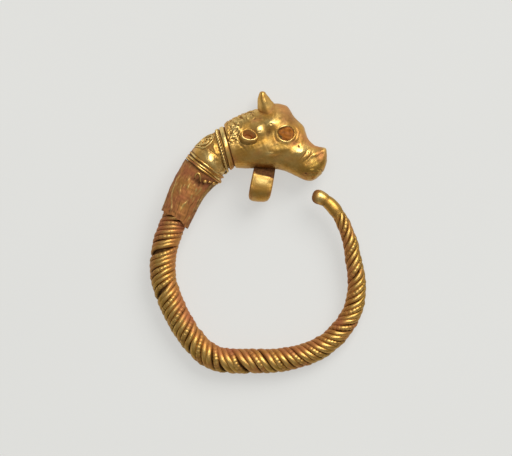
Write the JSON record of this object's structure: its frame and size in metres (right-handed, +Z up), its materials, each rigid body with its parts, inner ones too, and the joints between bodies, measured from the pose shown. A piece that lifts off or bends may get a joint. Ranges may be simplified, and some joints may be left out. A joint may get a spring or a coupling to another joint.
{
  "type": "animal head earring",
  "caption": "Hoop earring of wires wound round a tapering stem, with a sheet sleeve, a ringed collar and a hollow horned calf's head with a catch loop under its chin.",
  "frame": {"origin": "centre of the bounding box in X and Y, at its base: the surface that the earring lies on", "axes": "the earring lies on its side: +Z up from the surface, +Y from the foot of the hoop towards the head's horns, +X from the collar towards the muzzle"},
  "size_m": [0.0174, 0.0226, 0.0043],
  "materials": {
    "wound_wire": "worn, satin",
    "sleeve_sheet": "tarnished, satin",
    "collar_gold": "worn, satin",
    "head_gold": "worn, satin",
    "eye_filling": "matte"
  },
  "bodies": {
    "root": {"hoop": "wound_wire", "sleeve": "sleeve_sheet", "collar": "collar_gold", "head": "head_gold", "eye_fill_left": "eye_filling", "eye_fill_right": "eye_filling"}
  },
  "joints": []
}
